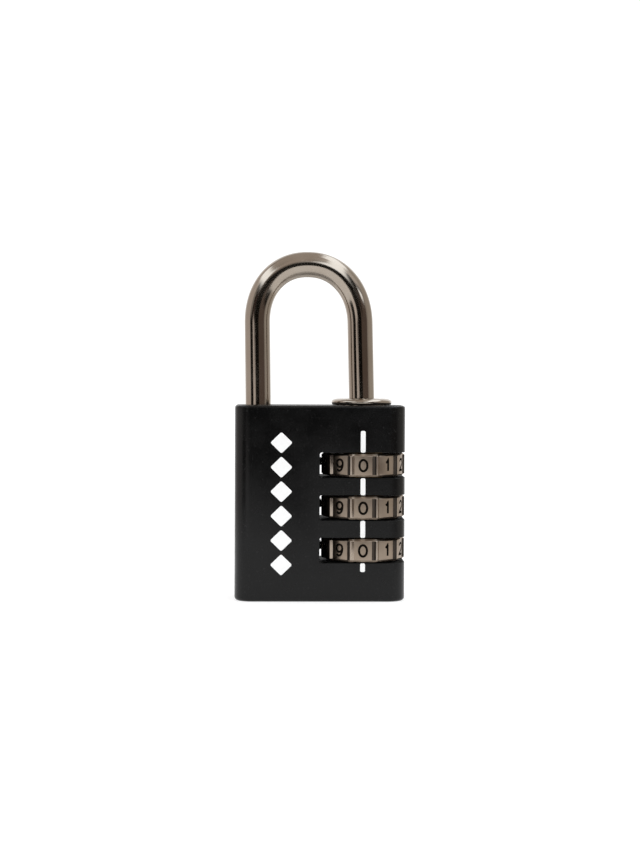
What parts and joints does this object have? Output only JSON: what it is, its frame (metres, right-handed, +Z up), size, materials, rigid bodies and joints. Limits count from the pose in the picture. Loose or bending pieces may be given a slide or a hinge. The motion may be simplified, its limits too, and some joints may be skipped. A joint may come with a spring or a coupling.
{
  "type": "combination padlock",
  "caption": "Small luggage padlock: black block case with exposed number dials down one side, and a plain round shackle over the top.",
  "frame": {"origin": "centre of the case's flat bottom face, on the plane that the padlock stands on", "axes": "+Z up towards the shackle loop, -Y out of the front face with the index line, +X towards the dial side"},
  "size_m": [0.0303, 0.0144, 0.0619],
  "materials": {
    "black_case": "fine-grained satin black coating",
    "satin_nickel": "satin nickel plate, warm",
    "dial_nickel": "satin nickel plate with black-filled numerals",
    "sleeve_brass": "plain turned brass",
    "spring_steel": "dark oil-tempered spring steel",
    "white_paint": "white printed index line and plain pattern",
    "numeral_fill": "matte black paint in the numerals",
    "plain_steel": "plain stamped steel"
  },
  "bodies": {
    "case": {"case_body": "black_case", "leg_collar": "satin_nickel", "bottom_plug": "black_case", "reset_spring": "spring_steel", "detent_spring_1": "spring_steel", "detent_spring_2": "spring_steel", "detent_spring_3": "spring_steel"},
    "shackle": {"shackle": "satin_nickel", "retaining_clip": "spring_steel"},
    "dial_1": {"dial_ring_1": "dial_nickel"},
    "dial_2": {"dial_ring_2": "dial_nickel"},
    "dial_3": {"dial_ring_3": "dial_nickel"},
    "sleeve_1": {"code_sleeve_1": "sleeve_brass"},
    "sleeve_2": {"code_sleeve_2": "sleeve_brass"},
    "sleeve_3": {"code_sleeve_3": "sleeve_brass"},
    "washer": {"thrust_washer": "plain_steel"}
  },
  "joints": [
    {"name": "shackle_lift", "type": "slide", "parent": "case", "child": "shackle", "axis": [0, 0, 1], "range_m": [0, 0.006]},
    {"name": "dial_1_turn", "type": "hinge", "parent": "case", "child": "dial_1", "pos_m": [0.0078, 0, 0.0241], "axis": [0, 0, 1], "continuous": true},
    {"name": "dial_2_turn", "type": "hinge", "parent": "case", "child": "dial_2", "pos_m": [0.0078, 0, 0.0166], "axis": [0, 0, 1], "continuous": true},
    {"name": "dial_3_turn", "type": "hinge", "parent": "case", "child": "dial_3", "pos_m": [0.0078, 0, 0.0091], "axis": [0, 0, 1], "continuous": true},
    {"name": "sleeve_1_reset", "type": "slide", "parent": "dial_1", "child": "sleeve_1", "axis": [0, 0, 1], "range_m": [-0.0015, 0], "stiffness_N_per_m": 1500, "springref_m": 0.0005},
    {"name": "sleeve_2_reset", "type": "slide", "parent": "dial_2", "child": "sleeve_2", "axis": [0, 0, 1], "range_m": [-0.0015, 0]},
    {"name": "sleeve_3_reset", "type": "slide", "parent": "dial_3", "child": "sleeve_3", "axis": [0, 0, 1], "range_m": [-0.0015, 0]},
    {"name": "washer_reset", "type": "slide", "parent": "case", "child": "washer", "axis": [0, 0, 1], "range_m": [-0.0015, 0], "deforming": ["reset_spring"]}
  ],
  "couplings": [
    {"joint": "sleeve_2_reset", "follows": "sleeve_1_reset", "ratio": 1},
    {"joint": "sleeve_3_reset", "follows": "sleeve_1_reset", "ratio": 1},
    {"joint": "washer_reset", "follows": "sleeve_1_reset", "ratio": 1}
  ]
}
